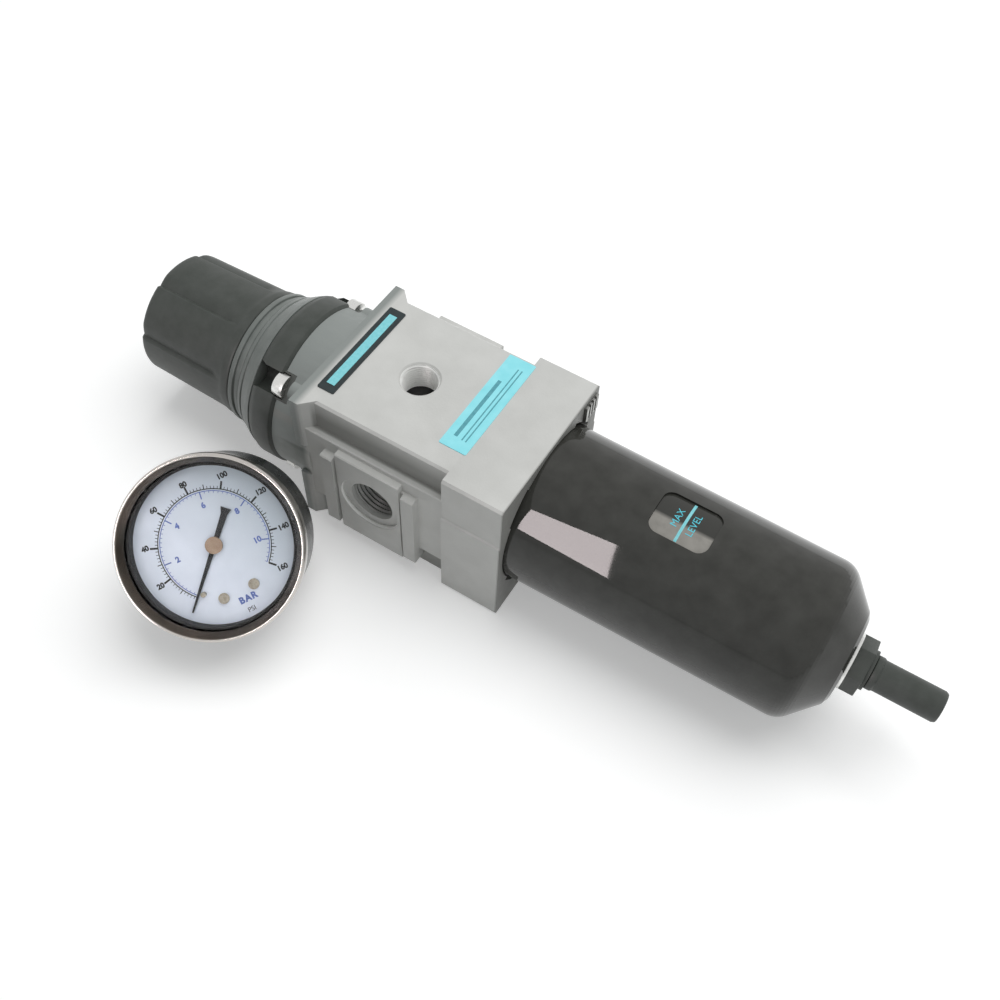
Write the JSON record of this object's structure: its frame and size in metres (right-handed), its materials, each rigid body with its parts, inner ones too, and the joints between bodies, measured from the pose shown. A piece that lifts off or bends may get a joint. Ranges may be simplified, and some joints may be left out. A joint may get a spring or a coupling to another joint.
{
  "type": "air filter regulator with pressure gauge",
  "caption": "Grey cast air filter and pressure regulator with a black adjusting knob, a black metal bowl with sight window and drain, and a loose round pressure gauge beside it.",
  "frame": {"origin": "on the plane that the unit's back rests on, under the point where the port line crosses the unit's long axis", "axes": "+X along the unit from the knob to the drain, +Y towards the outlet port, +Z out of the front face"},
  "size_m": [0.2871, 0.1321, 0.06],
  "materials": {
    "casting_paint": "light grey satin paint on die-cast aluminium",
    "plug_steel": "plain zinc-plated",
    "dark_plate": "near-black printed plate",
    "teal_label": "pale teal printed film",
    "black_plastic": "fine-grained black moulding",
    "grey_plastic": "dark grey moulding",
    "zinc_steel": "bright zinc plate",
    "spring_steel": "plain",
    "aluminium": "machined",
    "rubber": "matt",
    "inner_plastic": "black moulding",
    "filter_white": "porous off-white",
    "bowl_paint": "gloss black paint on metal",
    "clear_window": "clear, slightly grey",
    "float_white": "off-white",
    "guide_white": "grey-white",
    "gauge_black": "gloss black paint",
    "chrome": "polished",
    "lens": "clear",
    "dial_white": "white printed dial",
    "pointer_black": "matt black paint",
    "brass": "plain brass"
  },
  "bodies": {
    "unit": {"body": "casting_paint", "back_port_plug": "plug_steel", "name_plate": "dark_plate", "data_label": "teal_label", "bonnet": "black_plastic", "bonnet_screws": "zinc_steel", "panel_nut": "grey_plastic", "lock_ring": "grey_plastic", "range_spring": "spring_steel", "diaphragm": "rubber", "valve_seat": "brass", "valve_guide": "inner_plastic", "valve_spring": "spring_steel", "deflector": "inner_plastic", "filter_element": "filter_white", "element_retainer": "inner_plastic", "latch_spring": "spring_steel"},
    "screw": {"adjusting_screw": "zinc_steel"},
    "knob": {"knob": "black_plastic"},
    "nut": {"spring_nut": "brass"},
    "valve": {"valve_poppet": "rubber", "upper_plate": "aluminium", "lower_plate": "aluminium"},
    "bowl": {"bowl": "bowl_paint", "bowl_seal": "rubber", "sight_glass": "clear_window", "float_guide": "guide_white", "drain_fitting": "black_plastic", "drain_washer": "zinc_steel", "drain_nut": "black_plastic"},
    "float": {"float": "float_white"},
    "drain": {"drain_stem": "black_plastic"},
    "latch": {"bowl_latch": "zinc_steel"},
    "gauge": {"gauge_case": "gauge_black", "gauge_bezel": "chrome", "gauge_lens": "lens", "gauge_dial": "dial_white", "dial_screws": "zinc_steel", "movement_frame": "brass", "gauge_socket": "brass", "gauge_stem": "brass", "bourdon_tube": "brass"},
    "pointer": {"gauge_pointer": "pointer_black", "pointer_hub": "brass", "gauge_pinion": "brass"},
    "sector": {"sector_gear": "brass", "gauge_link": "brass"}
  },
  "joints": [
    {"name": "screw_turn", "type": "hinge", "parent": "unit", "child": "screw", "pos_m": [-0.08, 0, 0.03], "axis": [1, 0, 0], "range_deg": [0, 1980]},
    {"name": "nut_slide", "type": "slide", "parent": "unit", "child": "nut", "axis": [1, 0, 0], "range_m": [0, 0.00826], "deforming": ["range_spring"]},
    {"name": "knob_pull", "type": "slide", "parent": "screw", "child": "knob", "axis": [-1, 0, 0], "range_m": [0, 0.003]},
    {"name": "valve_lift", "type": "slide", "parent": "unit", "child": "valve", "axis": [1, 0, 0], "range_m": [0, 0.0015], "stiffness_N_per_m": 800, "deforming": ["diaphragm", "valve_spring", "range_spring"]},
    {"name": "bowl_turn", "type": "hinge", "parent": "unit", "child": "bowl", "pos_m": [0.05, 0, 0.03], "axis": [1, 0, 0], "range_deg": [0, 45]},
    {"name": "latch_slide", "type": "slide", "parent": "unit", "child": "latch", "axis": [-1, 0, 0], "range_m": [0, 0.0025], "stiffness_N_per_m": 400, "deforming": ["latch_spring"]},
    {"name": "float_slide", "type": "slide", "parent": "bowl", "child": "float", "axis": [-1, 0, 0], "range_m": [0, 0.005]},
    {"name": "drain_turn", "type": "hinge", "parent": "bowl", "child": "drain", "pos_m": [0.16, 0, 0.03], "axis": [1, 0, 0], "range_deg": [0, 90]},
    {"name": "gauge_lift", "type": "slide", "parent": "unit", "child": "gauge", "axis": [0, 0, 1], "range_m": [0, 0.15]},
    {"name": "sector_turn", "type": "hinge", "parent": "gauge", "child": "sector", "pos_m": [-0.02056, -0.07365, 0.02184], "axis": [0.3382, -0.5629, 0.7541], "range_deg": [0, 40]},
    {"name": "pointer_turn", "type": "hinge", "parent": "gauge", "child": "pointer", "pos_m": [-0.02783, -0.07342, 0.03481], "axis": [-0.3382, 0.5629, -0.7541], "range_deg": [0, 270]}
  ],
  "couplings": [
    {"joint": "nut_slide", "follows": "screw_turn", "m_per_rad": 0.00023873},
    {"joint": "pointer_turn", "follows": "sector_turn", "ratio": 6.75}
  ]
}
